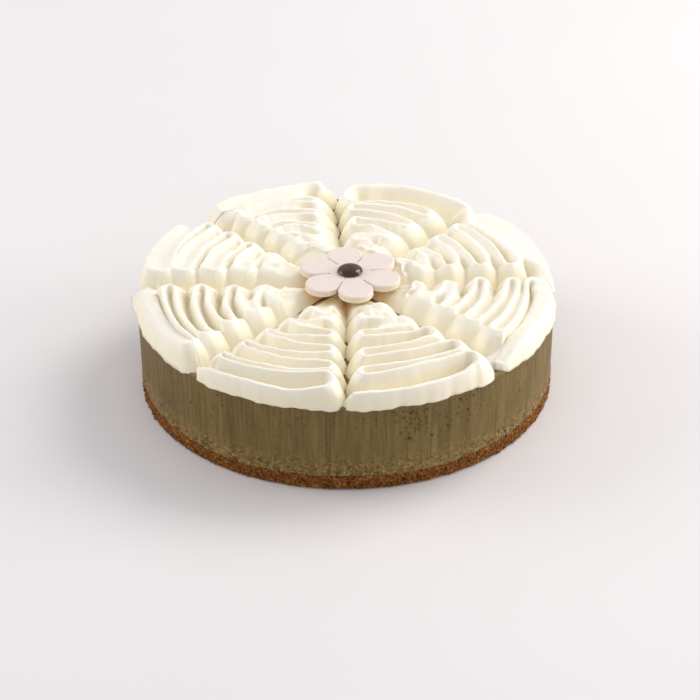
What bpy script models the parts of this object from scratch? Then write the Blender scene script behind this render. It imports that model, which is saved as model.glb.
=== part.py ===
"""Round cheesecake: crumb base, smooth filling, eight wedges of piped cream, a flower on top.

Metres, +Z up. The origin is the middle of the cake's flat underside.
Angles are in degrees, counted from +X towards +Y; the photograph looks along +Y.
Each cream wedge is one ribbon piped on edge, to and fro between two seams, from the rim
to the middle. A wedge is described in its own axes: across (t), towards larger angles,
and outward (r), along the line that halves the wedge.
"""
import math
import random
from collections import namedtuple

import bmesh
import bpy
from mathutils import Vector

MM = 0.001

# The cake's body
CAKE_RADIUS = 100.4 * MM
FOOT_RADIUS = 99.6 * MM
CAKE_HEIGHT = 45.0 * MM
RIM_ROUNDING = 1.2 * MM
BASE_HEIGHT = 7.0 * MM
BASE_EDGE_WAVE = 0.8 * MM
EDGE_WAVES = [(0.5, 7, 0.4), (0.3, 13, 1.9), (0.2, 19, 0.0)]
EDGE_START = 0.94
EDGE_FULL = 0.99
CRAGS = [(0.22 * MM, 23, 900, 0.0), (0.18 * MM, 41, -1700, 1.0)]
CRAG_LEVELS = (0.5 * MM, 5.6 * MM)
GAP = 0.3 * MM
AROUND = 96

# The piped ribbon
LIP_HEIGHT = 12.0 * MM
LIP_HALF = 0.9 * MM
LIP_WAVE = 0.5 * MM
SLOW_WAVE = (5, 0.6)
QUICK_WAVE = (11, 0.4)
SHORTEST_PASS = 3.0 * MM
LAST_LOOP = 2.8 * MM
LEAST_INSET = 0.5 * MM
FIRST_PASS_BOW = 36.0 * MM
CREAM_SEED = 11

# The valleys between the passes, and how they run out at their open ends: how far past the
# ends of the lips, and at what share of the valley's height
VALLEY_DEPTH = 4.4 * MM
FILLED_DEPTH = 1.5 * MM
OPEN_END_DROP = 1.6 * MM
CLOSED_END_LENGTH = 0.15
CLOSED_END_RISE = 0.35
OPEN_END = [(0.5 * MM, 0.62), (2.0 * MM, 0.45), (3.6 * MM, 0.2), (5.3 * MM, 0.0)]

# The walls at the seams and at the rim
WALL_HEIGHT = 5.8 * MM
WALL_REACH = 0.62
WALL_BELOW_LIP = 1.5 * MM
LEAST_WALL = 0.8 * MM
LEAST_RING = 0.2 * MM
WRAP_LIMIT = 0.93
FOOT_OVERREACH = 1.5 * MM
RIM_WALL = (1.9 * MM, 0.55)
RIM_FOOT = 2.0 * MM
RIM_REACH = 101.0 * MM
CREAM_FOOT_RADIUS = 99.4 * MM
FOOT_LEVEL = 0.5 * MM
SEAM_CLEARANCE = 0.2 * MM
CORNER_ROUNDING = 5.0 * MM
ACROSS = 9

# The ribbon's end, by the middle of the cake: rings of radius and height, and how the rings
# fall off towards the seams
TAIL_DIP_REACH = 3.0 * MM
TAIL_DIP_HEIGHT = 8.0 * MM
TAIL_RINGS = [(15.0 * MM, 12.0 * MM), (11.0 * MM, 7.0 * MM), (9.5 * MM, 0.0)]
TAIL_TOP = 0.6
TAIL_SIDE = [(0.72, 0.8), (0.83, 0.6), (0.93, 0.35), (1.0, 0.0)]

# Each wedge: where it starts and ends, how many passes, the pitch of the turns, where the
# turns at the two seams would be counted from, how far the lips stay off the seams and how
# much the passes bow outward
Wedge = namedtuple("Wedge", "start end passes pitch first_start first_end "
                            "inset_start inset_end bow")
WEDGES = [
    Wedge(226, 270, 11, 6.90, 102.5, 99.9, 8.5, 6.0, 0.050),
    Wedge(270, 316, 10, 7.65, 98.9, 101.8, 6.3, 8.5, 0.020),
    Wedge(316, 362, 10, 7.10, 98.2, 98.1, 11.0, 6.0, 0.035),
    Wedge(2, 49, 10, 6.83, 92.5, 92.1, 8.5, 8.5, 0.035),
    Wedge(49, 93, 9, 7.10, 88.2, 89.2, 9.5, 5.5, 0.035),
    Wedge(93, 136, 11, 6.20, 90.5, 98.1, 11.5, 8.5, 0.035),
    Wedge(136, 180, 10, 6.77, 96.4, 98.1, 8.5, 7.5, 0.035),
    Wedge(180, 226, 10, 7.10, 96.8, 102.3, 8.5, 10.0, 0.035),
]

# Each wedge's first pass, along the rim: how far its free start stays off the seam, its
# height there as a share, over what share of the pass it rises, and its lip's radius and
# height
First = namedtuple("First", "inset share rise lip height")
FIRSTS = [
    First(2.5, 0.62, 0.14, 100.0, 8.0), First(3.5, 0.95, 0.05, 99.0, 8.0),
    First(3.0, 0.50, 0.25, 98.5, 9.0), First(3.0, 0.80, 0.15, 98.0, 9.3),
    First(4.0, 0.90, 0.10, 97.0, 10.8), First(5.0, 1.00, 0.10, 97.5, 11.2),
    First(4.0, 1.00, 0.10, 97.5, 10.6), First(2.5, 0.50, 0.30, 98.5, 9.5),
]

# How each wedge's ribbon lies: half the width of its turns at either seam, where the crease
# lies between two passes as a share of the way to the inner one (in the first valley and in
# the rest), and how full the valleys are: the first, those that close at the end seam and
# those that close at the start seam
Lie = namedtuple("Lie", "loop_start loop_end first_crease crease first_fill end_fill start_fill")
LIES = [
    Lie(1.9, 3.4, 0.60, 0.60, 0.0, 0.0, 0.0), Lie(3.2, 4.3, 0.60, 0.60, 0.0, 0.0, 0.0),
    Lie(4.0, 3.0, 0.75, 0.62, 0.0, 0.3, 0.5), Lie(3.5, 3.0, 0.60, 0.58, 1.0, 0.85, 0.0),
    Lie(3.4, 3.4, 0.60, 0.60, 0.2, 0.3, 0.3), Lie(2.8, 4.2, 0.60, 0.60, 0.6, 0.85, 0.35),
    Lie(3.0, 4.6, 0.60, 0.60, 0.9, 0.9, 0.1), Lie(3.3, 3.2, 0.80, 0.66, 0.0, 0.0, 0.0),
]

# The flower and its button
FLOWER_CENTRE_X = 2.0 * MM
FLOWER_BOTTOM = 55.5 * MM
FLOWER_THICKNESS = 3.5 * MM
FLOWER_RADIUS = 25.2 * MM
PETALS = 6
PETAL_TURN = 39
PETAL_ROUND = 8.4 * MM
GROOVE_HALF = 0.35 * MM
GROOVE_START = 9.0 * MM
PETAL_POINTS = 10
FLOWER_EDGE = 0.7 * MM
UNDER_FLOWER = 27.5 * MM
BUTTON_RADIUS = 6.1 * MM
BUTTON_HEIGHT = 3.0 * MM
BUTTON_STEPS = 7
BUTTON_AROUND = 32


def clear_scene():
    """Take away every object and the collection of an earlier run."""
    for obj in list(bpy.data.objects):
        bpy.data.objects.remove(obj, do_unlink=True)
    for group in list(bpy.data.collections):
        if group.name.startswith("cheesecake"):
            bpy.data.collections.remove(group)


def material(name, colour, roughness, metallic=0.0):
    """A Principled material of one colour."""
    made = bpy.data.materials.new(name)
    made.use_nodes = True
    shader = made.node_tree.nodes["Principled BSDF"]
    shader.inputs["Base Color"].default_value = (*colour, 1.0)
    shader.inputs["Roughness"].default_value = roughness
    shader.inputs["Metallic"].default_value = metallic
    return made


def add_object(name, mesh, made, parent):
    """Put a mesh into the cake's collection under the cake's empty."""
    obj = bpy.data.objects.new(name, mesh)
    obj.data.materials.append(made)
    obj.parent = parent
    parent.users_collection[0].objects.link(obj)
    return obj


def shade(mesh, angle=40):
    """Smooth shading with sharp edges past the given angle."""
    mesh.shade_smooth()
    mesh.set_sharp_from_angle(angle=math.radians(angle))


def turned_mesh(name, profile, steps, relief=None):
    """Turn a closed profile of (radius, height) round Z, then shift points by relief."""
    shape = bmesh.new()
    verts = [shape.verts.new((radius, 0, height)) for radius, height in profile]
    edges = [shape.edges.new(pair) for pair in zip(verts, verts[1:])]
    bmesh.ops.spin(shape, geom=verts + edges, cent=(0, 0, 0), axis=(0, 0, 1),
                   angle=math.tau, steps=steps, use_merge=True)
    bmesh.ops.remove_doubles(shape, verts=shape.verts, dist=0.01 * MM)
    if relief:
        for vert in shape.verts:
            vert.co = relief(vert.co)
    bmesh.ops.recalc_face_normals(shape, faces=shape.faces)
    mesh = bpy.data.meshes.new(name)
    shape.to_mesh(mesh)
    shape.free()
    return mesh


def seam_height(angle):
    """The uneven line between crumb base and filling, as seen from the side."""
    return BASE_EDGE_WAVE * sum(size * math.sin(count * angle + phase)
                                for size, count, phase in EDGE_WAVES)


def edge_share(radius):
    """How much of the uneven line a point takes on: all at the rim, none further in."""
    share = (radius / FOOT_RADIUS - EDGE_START) / (EDGE_FULL - EDGE_START)
    return max(0.0, min(1.0, share))


def crumb_relief(co):
    """Crags on the crumb base's side and its uneven top line."""
    angle = math.atan2(co.y, co.x)
    radius = math.hypot(co.x, co.y)
    height = co.z
    moved = radius
    if co.z > CRAG_LEVELS[1]:
        height += edge_share(radius) * seam_height(angle)
    elif radius > EDGE_FULL * FOOT_RADIUS and co.z > CRAG_LEVELS[0]:
        moved += sum(size * math.sin(count * angle + slant * co.z + phase)
                     for size, count, slant, phase in CRAGS)
    return Vector((moved * math.cos(angle), moved * math.sin(angle), height))


def filling_relief(co):
    """The filling's lower rim follows the crumb base's uneven top line."""
    angle = math.atan2(co.y, co.x)
    radius = math.hypot(co.x, co.y)
    height = co.z
    if co.z < BASE_HEIGHT + 2 * GAP:
        height += edge_share(radius) * seam_height(angle)
    return Vector((co.x, co.y, height))


def build_crumb_base(made, parent):
    """Pressed crumb disc with a flat underside and a craggy side."""
    profile = [
        (0, 0), (0.5 * FOOT_RADIUS, 0), (FOOT_RADIUS - 1.2 * MM, 0),
        (FOOT_RADIUS - 0.2 * MM, 0.9 * MM), (FOOT_RADIUS, 2.6 * MM),
        (FOOT_RADIUS, 4.6 * MM), (FOOT_RADIUS, BASE_HEIGHT),
        (0.93 * FOOT_RADIUS, BASE_HEIGHT), (0.5 * FOOT_RADIUS, BASE_HEIGHT), (0, BASE_HEIGHT),
    ]
    mesh = turned_mesh("crumb_base", profile, AROUND, crumb_relief)
    shade(mesh, 30)
    return add_object("crumb_base", mesh, made, parent)


def build_filling(made, parent):
    """Smooth filling with an upright side and a softly rounded rim."""
    bottom = BASE_HEIGHT + GAP
    profile = [(0, bottom), (0.5 * FOOT_RADIUS, bottom), (0.93 * FOOT_RADIUS, bottom),
               (FOOT_RADIUS, bottom), (0.5 * (FOOT_RADIUS + CAKE_RADIUS), 0.55 * CAKE_HEIGHT)]
    centre_r = CAKE_RADIUS - RIM_ROUNDING
    centre_z = CAKE_HEIGHT - RIM_ROUNDING
    for step in range(4):
        turn = math.radians(30 * step)
        profile.append((centre_r + RIM_ROUNDING * math.cos(turn),
                        centre_z + RIM_ROUNDING * math.sin(turn)))
    profile += [(0.5 * CAKE_RADIUS, CAKE_HEIGHT), (0, CAKE_HEIGHT)]
    mesh = turned_mesh("filling", profile, AROUND, filling_relief)
    shade(mesh, 35)
    return add_object("filling", mesh, made, parent)


# A turn of the ribbon at a seam: its centre, half its width, how far its lip stays off the
# seam, on which side it lies, and how far outward or inward its walls may reach
Turn = namedtuple("Turn", "t r loop inset side limit")


class Ribbon:
    """The lip of one wedge's ribbon, worked out from the wedge's rows of sizes."""

    def __init__(self, wedge, first, lie, seed):
        self.wedge = wedge
        self.first = first
        self.lie = lie
        self.passes = wedge.passes
        self.half = math.radians(wedge.end - wedge.start) / 2
        middle = math.radians(wedge.end + wedge.start) / 2
        self.outward = Vector((math.cos(middle), math.sin(middle)))
        self.across = Vector((-self.outward.y, self.outward.x))
        draw = random.Random(seed)
        self.phases = [(draw.uniform(0, math.tau), draw.uniform(0, math.tau))
                       for _ in range(self.passes + 1)]
        self.turns = [self.turn(number) for number in range(self.passes + 1)]

    def turn(self, number):
        """The turn that ends a pass; number 0 is the ribbon's free start."""
        side = 1 if number % 2 else -1
        wedge = self.wedge
        counted_from = wedge.first_end if side > 0 else wedge.first_start
        inset = (wedge.inset_end if side > 0 else wedge.inset_start) * MM
        own_loop = (self.lie.loop_end if side > 0 else self.lie.loop_start) * MM
        radius = (counted_from - wedge.pitch * number) * MM
        rim = self.first.lip * MM
        loop = own_loop
        if number == 0:
            radius, loop, inset = rim, 0.0, self.first.inset * MM
        elif number == 1:
            inner = radius - own_loop
            radius, loop = (inner + rim) / 2, (rim - inner) / 2
        elif number == self.passes:
            radius, loop = radius + min(own_loop, LAST_LOOP), 0.0
        if number <= 1:
            edge = math.asin((radius * math.sin(self.half) - inset) / radius)
            across = radius * math.sin(edge) - loop
            return Turn(side * across, radius * math.cos(edge), loop, inset, side,
                        loop + RIM_FOOT)
        widest = radius * math.tan(self.half) - loop - 0.5 * SHORTEST_PASS
        inset = max(LEAST_INSET, min(inset, widest * math.cos(self.half)))
        across = radius * math.tan(self.half) - inset / math.cos(self.half) - loop
        return Turn(side * across, radius, loop, inset, side, WRAP_LIMIT * wedge.pitch * MM)

    def lip_height(self, number, share):
        """Height of a pass's lip above the filling at a share of its way across."""
        wave = sum(size * math.sin(count * share + phase) for (count, size), phase
                   in zip((SLOW_WAVE, QUICK_WAVE), self.phases[number]))
        height = LIP_HEIGHT
        if number == 1:
            height = self.first.height * MM
            if share < self.first.rise:
                rise = math.sin(0.5 * math.pi * share / self.first.rise)
                height *= self.first.share + (1 - self.first.share) * rise
        return height + LIP_WAVE * wave

    def lip(self, number, share):
        """Middle of a pass's lip (t, r), share 0 at the start seam, 1 at the end seam."""
        before, after = self.turns[number - 1], self.turns[number]
        t_first, r_first = before.t, before.r - before.loop
        t_last, r_last = after.t, after.r + after.loop
        if number % 2 == 0:
            t_first, r_first, t_last, r_last = t_last, r_last, t_first, r_first
        t = t_first + (t_last - t_first) * share
        r = r_first + (r_last - r_first) * share
        arch = share * (1 - share)
        if number == 1:
            along_rim = math.sqrt((self.first.lip * MM) ** 2 - t ** 2)
            return t, min(along_rim, r + FIRST_PASS_BOW * arch)
        bow = self.wedge.bow * max(r_first, r_last)
        wave = LIP_WAVE * math.sin(7 * share + self.phases[number][0])
        return t, r + (4 * bow + 2 * wave) * arch

    def valley(self, number, share):
        """Bottom of the valley between a pass and the next: its place and its height."""
        lie = self.lie
        closes_at_end = number % 2 == 1
        fill = lie.end_fill if closes_at_end else lie.start_fill
        crease = lie.crease
        if number == 1:
            fill, crease = lie.first_fill, lie.first_crease
        t, r = self.lip(number, share)
        t_next, r_next = self.lip(number + 1, share)
        opening = 1 - share if closes_at_end else share
        depth = VALLEY_DEPTH + (FILLED_DEPTH - VALLEY_DEPTH) * fill
        depth += OPEN_END_DROP * opening ** 2
        closing = max(0.0, 1 - opening / CLOSED_END_LENGTH)
        depth *= 1 - CLOSED_END_RISE * closing
        height = (self.lip_height(number, share) + self.lip_height(number + 1, share)) / 2
        outer, inner = r - LIP_HALF, r_next + LIP_HALF
        return (t + t_next) / 2, outer + (inner - outer) * crease, height - depth

    def clamp(self, t, r, reach):
        """Keep a point inside a radius, off the wedge's seams and inside rounded corners."""
        radius = min(math.hypot(t, r), reach)
        widest = self.half - SEAM_CLEARANCE / radius
        angle = max(-widest, min(widest, math.atan2(t, r)))
        into_corner = max(0.0, CORNER_ROUNDING - radius * (self.half - abs(angle)))
        cut = CORNER_ROUNDING - math.sqrt(CORNER_ROUNDING ** 2 - into_corner ** 2)
        radius = min(radius, reach - cut)
        return radius * math.sin(angle), radius * math.cos(angle)

    def world(self, t, r, height):
        """World place of a point of the wedge, its height above the filling."""
        flat = self.outward * r + self.across * t
        if (flat - Vector((FLOWER_CENTRE_X, 0))).length < UNDER_FLOWER:
            height = min(height, FLOWER_BOTTOM - GAP - CAKE_HEIGHT)
        return Vector((flat.x, flat.y, CAKE_HEIGHT + max(height, GAP)))


# How the grid's lines wrap round a turn: for each kind of line, its angle from the
# outward direction and its ring, at the four columns from the pass's end to the foot
INNER, OUTER, WALL, FOOT = range(4)
WRAP_OUTSIDE = {
    "foot": [(8, FOOT), (17, FOOT), (27, FOOT), (36, FOOT)],
    "wall": [(10, WALL), (22, WALL), (36, WALL), (44, FOOT)],
    "far": [(20, OUTER), (45, OUTER), (50, WALL), (54, FOOT)],
    "near": [(45, INNER), (67, OUTER), (69, WALL), (71, FOOT)],
}


class CreamGrid:
    """Rows along the ribbon's passes, columns across the wedge."""

    def __init__(self, ribbon):
        self.ribbon = ribbon
        self.rows = [("foot", 1), ("wall", 1)]
        for number in range(1, ribbon.passes + 1):
            self.rows += [("far", number), ("near", number), ("valley", number)]
        last = min(ribbon.lip(ribbon.passes, share)[1] for share in (0, 1))
        self.rows[-1:] = [("tail", (last - TAIL_DIP_REACH, TAIL_DIP_HEIGHT))]
        self.rows += [("tail", ring) for ring in TAIL_RINGS]
        self.columns = [("side", -1, step) for step in (3, 2, 1, 0)]
        self.columns += [("pass", 0, step / (ACROSS - 1)) for step in range(ACROSS)]
        self.columns += [("side", 1, step) for step in range(4)]

    def ring(self, turn, kind):
        """Distance of a ring from its turn's centre, and its height."""
        if kind == INNER:
            return max(turn.loop - LIP_HALF, LEAST_RING), None
        if kind == OUTER:
            return turn.loop + LIP_HALF, None
        if kind == WALL:
            wall = max(LEAST_WALL, WALL_REACH * (turn.inset - LIP_HALF))
            return turn.loop + LIP_HALF + wall, WALL_HEIGHT
        return turn.loop + turn.inset / math.cos(self.ribbon.half) + FOOT_OVERREACH, 0.0

    def wrapped(self, turn, degrees, kind, lip):
        """A point on a ring round a turn."""
        distance, height = self.ring(turn, kind)
        offset = distance * math.cos(math.radians(degrees))
        offset = max(-turn.limit, min(turn.limit, offset))
        t = turn.t + turn.side * distance * math.sin(math.radians(degrees))
        if kind == WALL:
            height = min(height, lip - WALL_BELOW_LIP)
        return t, turn.r + offset, lip if height is None else height

    def owner(self, number, side):
        """The turn at one side of a pass, and whether the pass lies on its outer half."""
        turn = number if (number % 2 == 1) == (side > 0) else number - 1
        return turn, turn == number

    def at_side(self, kind, number, side, step):
        """A point of a side column."""
        ribbon = self.ribbon
        share = 1.0 if side > 0 else 0.0
        if kind == "valley":
            turn_number, closed = self.owner(number, side)
            lip = ribbon.lip_height(number, share)
            if closed:
                ring = (INNER, OUTER, WALL, FOOT)[step]
                return self.wrapped(ribbon.turns[turn_number], 90, ring, lip)
            past, height = OPEN_END[step]
            ends = [ribbon.lip(number + inward, share)[0] for inward in (0, 1)]
            t = min(abs(end) for end in ends) * side
            r = ribbon.valley(number, share)[1]
            return t + side * past, r, height * (lip - VALLEY_DEPTH)
        turn_number, outer_half = self.owner(number, side)
        turn = ribbon.turns[turn_number]
        lip = ribbon.lip_height(number, share)
        if kind in ("foot", "wall"):
            degrees, ring = WRAP_OUTSIDE[kind][step]
            return self.wrapped(turn, degrees, ring, lip)
        free = turn.loop == 0.0
        facing = "far" if (kind == "far") == (outer_half or free) else "near"
        if free:
            degrees, ring = WRAP_OUTSIDE["far"][step]
            if kind == "near":
                degrees = 180 - degrees
            return self.wrapped(turn, degrees, ring, lip)
        degrees, ring = WRAP_OUTSIDE[facing][step]
        if not outer_half:
            degrees = 180 - degrees
        return self.wrapped(turn, degrees, ring, lip)

    def along(self, kind, number, share):
        """A point of a column that crosses the passes."""
        ribbon = self.ribbon
        if kind == "valley":
            return ribbon.valley(number, share)
        t, r = ribbon.lip(number, share)
        lip = ribbon.lip_height(number, share)
        if kind == "far":
            return t, r + LIP_HALF, lip
        if kind == "near":
            return t, r - LIP_HALF, lip
        if kind == "wall":
            outward, height = RIM_WALL
            return t, r + outward, height * lip
        return t, r + RIM_FOOT, 0.0

    def tail(self, ring, column):
        """The ribbon's end: a low blob that narrows towards the middle of the cake."""
        radius, height = ring
        section, side, step = column
        if section == "pass":
            share = TAIL_TOP * (2 * step - 1)
        else:
            share, fall = TAIL_SIDE[step]
            share *= side
            height *= fall
        widest = radius * math.tan(self.ribbon.half) - SEAM_CLEARANCE
        return share * widest, radius, height

    def point(self, row, column):
        """World place of the grid's point at a row and a column."""
        kind, number = row
        if kind == "tail":
            t, r, height = self.tail(number, column)
        elif column[0] == "pass":
            t, r, height = self.along(kind, number, column[2])
        else:
            t, r, height = self.at_side(kind, number, column[1], column[2])
        reach = CREAM_FOOT_RADIUS if height < FOOT_LEVEL else RIM_REACH
        t, r = self.ribbon.clamp(t, r, reach)
        return self.ribbon.world(t, r, height)


def build_cream_wedge(index, made, parent):
    """One wedge of piped cream: a grid laid over the ribbon and closed underneath."""
    name = f"cream_wedge_{index + 1}"
    ribbon = Ribbon(WEDGES[index], FIRSTS[index], LIES[index], CREAM_SEED + index)
    grid = CreamGrid(ribbon)
    rows, columns = len(grid.rows), len(grid.columns)
    shape = bmesh.new()
    bmesh.ops.create_grid(shape, x_segments=columns - 1, y_segments=rows - 1, size=0.5)
    for vert in shape.verts:
        column = round((vert.co.x + 0.5) * (columns - 1))
        row = round((vert.co.y + 0.5) * (rows - 1))
        vert.co = grid.point(grid.rows[row], grid.columns[column])
    rim = [edge for edge in shape.edges if edge.is_boundary]
    bmesh.ops.contextual_create(shape, geom=rim)
    bmesh.ops.triangulate(shape, faces=shape.faces, ngon_method="EAR_CLIP")
    bmesh.ops.recalc_face_normals(shape, faces=shape.faces)
    mesh = bpy.data.meshes.new(name)
    shape.to_mesh(mesh)
    shape.free()
    shade(mesh, 50)
    return add_object(name, mesh, made, parent)


def flower_outline(inset):
    """Six round petals that meet along narrow grooves, drawn in by an inset."""
    points = []
    petal_centre = FLOWER_RADIUS - PETAL_ROUND
    petal_round = PETAL_ROUND - inset
    half_sector = math.pi / PETALS
    to_groove = petal_centre * math.sin(half_sector) - GROOVE_HALF - inset
    swing = half_sector + math.asin(to_groove / petal_round)
    groove_start = GROOVE_START + 2 * inset
    for petal in range(PETALS):
        middle = math.radians(PETAL_TURN) + petal * math.tau / PETALS
        for step in range(PETAL_POINTS):
            turn = swing * (2 * step / (PETAL_POINTS - 1) - 1)
            x = petal_centre + petal_round * math.cos(turn)
            y = petal_round * math.sin(turn)
            points.append((x * math.cos(middle) - y * math.sin(middle),
                           x * math.sin(middle) + y * math.cos(middle)))
        groove = middle + half_sector
        points.append((groove_start * math.cos(groove), groove_start * math.sin(groove)))
    return points


def build_flower(made, parent):
    """Flat moulded flower with softened edges, resting on the inner lips."""
    shape = bmesh.new()
    count = PETALS * (PETAL_POINTS + 1)
    made_ring = bmesh.ops.create_circle(shape, cap_ends=True, segments=count, radius=1.0)
    ring = made_ring["verts"]
    sections = [(FLOWER_EDGE, 0), (0, FLOWER_EDGE), (0, FLOWER_THICKNESS - FLOWER_EDGE),
                (FLOWER_EDGE, FLOWER_THICKNESS)]
    for level, (inset, height) in enumerate(sections):
        if level:
            before = ring
            caps = [face for face in shape.faces if all(v in before for v in face.verts)]
            grown = bmesh.ops.extrude_face_region(shape, geom=caps, use_keep_orig=True)
            ring = [item for item in grown["geom"] if isinstance(item, bmesh.types.BMVert)]
            if level > 1:
                bmesh.ops.delete(shape, geom=caps, context="FACES_ONLY")
            ring.sort(key=lambda vert: before.index(nearest(before, vert)))
        for vert, (x, y) in zip(ring, flower_outline(inset)):
            vert.co = (x, y, height)
    bmesh.ops.triangulate(shape, faces=shape.faces, ngon_method="EAR_CLIP")
    bmesh.ops.recalc_face_normals(shape, faces=shape.faces)
    mesh = bpy.data.meshes.new("flower")
    shape.to_mesh(mesh)
    shape.free()
    obj = add_object("flower", mesh, made, parent)
    obj.location = (FLOWER_CENTRE_X, 0, FLOWER_BOTTOM)
    shade(mesh, 40)
    return obj


def nearest(verts, target):
    """The vertex of a ring that an extruded copy still lies on."""
    return min(verts, key=lambda vert: (vert.co - target.co).length)


def build_button(made, parent):
    """Glossy dark button: a low dome on the flower's middle, turned from its profile."""
    shape = bmesh.new()
    verts = []
    for step in range(BUTTON_STEPS + 1):
        turn = math.pi / 2 * (1 - step / BUTTON_STEPS)
        verts.append(shape.verts.new((BUTTON_RADIUS * math.cos(turn), 0,
                                      BUTTON_HEIGHT * (0.15 + 0.85 * math.sin(turn)))))
    verts.append(shape.verts.new((0.93 * BUTTON_RADIUS, 0, 0)))
    verts.append(shape.verts.new((0, 0, 0)))
    for pair in zip(verts, verts[1:]):
        shape.edges.new(pair)
    mesh = bpy.data.meshes.new("flower_button")
    shape.to_mesh(mesh)
    shape.free()
    obj = add_object("flower_button", mesh, made, parent)
    obj.location = (FLOWER_CENTRE_X, 0, FLOWER_BOTTOM + FLOWER_THICKNESS + GAP)
    screw = obj.modifiers.new("turn", "SCREW")
    screw.angle = math.tau
    screw.steps = BUTTON_AROUND
    screw.render_steps = BUTTON_AROUND
    screw.use_merge_vertices = True
    screw.merge_threshold = 0.00005
    screw.use_smooth_shade = True
    return obj


def main():
    clear_scene()
    group = bpy.data.collections.new("cheesecake")
    bpy.context.scene.collection.children.link(group)
    cake = bpy.data.objects.new("cheesecake", None)
    group.objects.link(cake)
    crumb = material("baked_crumb", (0.26, 0.105, 0.035), 0.9)
    filling = material("filling", (0.165, 0.122, 0.055), 0.6)
    cream = material("piped_cream", (0.88, 0.84, 0.70), 0.5)
    petal = material("pale_petal", (0.84, 0.74, 0.68), 0.6)
    button = material("dark_button", (0.025, 0.012, 0.008), 0.15)
    build_crumb_base(crumb, cake)
    build_filling(filling, cake)
    for index in range(len(WEDGES)):
        build_cream_wedge(index, cream, cake)
    build_flower(petal, cake)
    build_button(button, cake)


main()
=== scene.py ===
"""Looks of a round cheesecake: baked crumb, smooth filling, piped cream, flower and button.

Metres, in the frame's own axes. Lengths are written in millimetres times MM.
"""
import math
import random
from collections import namedtuple

import bmesh
import bpy
import numpy as np
from mathutils import Matrix, Vector, kdtree, noise


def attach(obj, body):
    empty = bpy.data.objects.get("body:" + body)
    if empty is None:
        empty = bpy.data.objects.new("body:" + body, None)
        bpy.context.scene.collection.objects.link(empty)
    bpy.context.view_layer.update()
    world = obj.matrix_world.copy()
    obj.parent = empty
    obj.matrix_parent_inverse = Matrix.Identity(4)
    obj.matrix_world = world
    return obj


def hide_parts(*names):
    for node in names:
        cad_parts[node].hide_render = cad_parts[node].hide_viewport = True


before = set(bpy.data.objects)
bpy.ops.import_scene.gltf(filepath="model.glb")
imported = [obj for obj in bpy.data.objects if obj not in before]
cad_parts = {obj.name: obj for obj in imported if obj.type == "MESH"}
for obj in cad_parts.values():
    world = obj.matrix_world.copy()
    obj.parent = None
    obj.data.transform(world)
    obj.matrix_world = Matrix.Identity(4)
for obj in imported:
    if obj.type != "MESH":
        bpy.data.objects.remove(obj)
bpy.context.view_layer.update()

MM = 0.001

# The cake's body, as the solids have it
CAKE_RADIUS = 100.4 * MM
FOOT_RADIUS = 99.6 * MM
CAKE_HEIGHT = 45.0 * MM
RIM_ROUNDING = 1.2 * MM
BASE_HEIGHT = 7.0 * MM
BASE_EDGE_WAVE = 0.8 * MM

# The seam of base and filling: its level and roughness, from what share of the foot's radius
# it wavers and over what share that grows, and over what height it fades upward
SEAM_LEVEL = BASE_HEIGHT + 0.1 * MM
EDGE_ROUGH = 26
EDGE_START = 0.94
EDGE_LENGTH = 0.05
SEAM_FADE = 12.0 * MM

# The fine meshes of the two bodies: points round them, and rows up the filling's side
CRUST_AROUND = 800
FILLING_AROUND = 1080
FILLING_ROWS = 66

# The crumbly band at the filling's foot: its relief's start and length, and its colours'
CRUMBLY_TOP = 19.0 * MM
CRUMBLY_LENGTH = 9.0 * MM
CRUMBLY_TINT = (20.0 * MM, 10.5 * MM)

# Grains on the sides: a seed, how many, between which heights, how far out and how large
CRUST_GRAINS = (3, 1500, (0.35 * MM, BASE_HEIGHT + 0.5 * MM), FOOT_RADIUS + 0.1 * MM,
                (0.25 * MM, 0.60 * MM))
FILLING_GRAINS = (4, 260, (BASE_HEIGHT, BASE_HEIGHT + 8.0 * MM), FOOT_RADIUS + 0.2 * MM,
                  (0.2 * MM, 0.6 * MM))

# Pits in the filling's side: how many, between which angles in degrees and heights in
# millimetres, and their radius. Two kinds lie all round, two cluster at the front right, and
# the rest are single deep ones.
PIT_SEED = 5
Pits = namedtuple("Pits", "count start end low high smallest largest")
PITS = [
    Pits(420, 0, 360, 12, 43, 0.28, 0.50), Pits(34, 0, 360, 14, 42, 0.55, 0.75),
    Pits(75, 283, 292, 27, 41, 0.32, 0.58), Pits(24, 294, 312, 22, 42, 0.38, 0.62),
    Pits(1, 286.6, 286.8, 25.2, 25.6, 1.10, 1.15), Pits(1, 293.0, 293.2, 25, 26, 0.75, 0.80),
    Pits(1, 297.5, 298.0, 28, 29, 0.65, 0.70), Pits(1, 303.5, 304.0, 33, 34, 0.70, 0.75),
]

# The lip of the piped ribbon
LIP_HEIGHT = 12.0 * MM
LIP_HALF = 0.7 * MM
LIP_WAVE = 0.5 * MM
SHORTEST_PASS = 3.0 * MM
LEAST_INSET = 0.5 * MM
FIRST_PASS_BOW = 36.0 * MM
CREAM_SEED = 11

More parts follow.
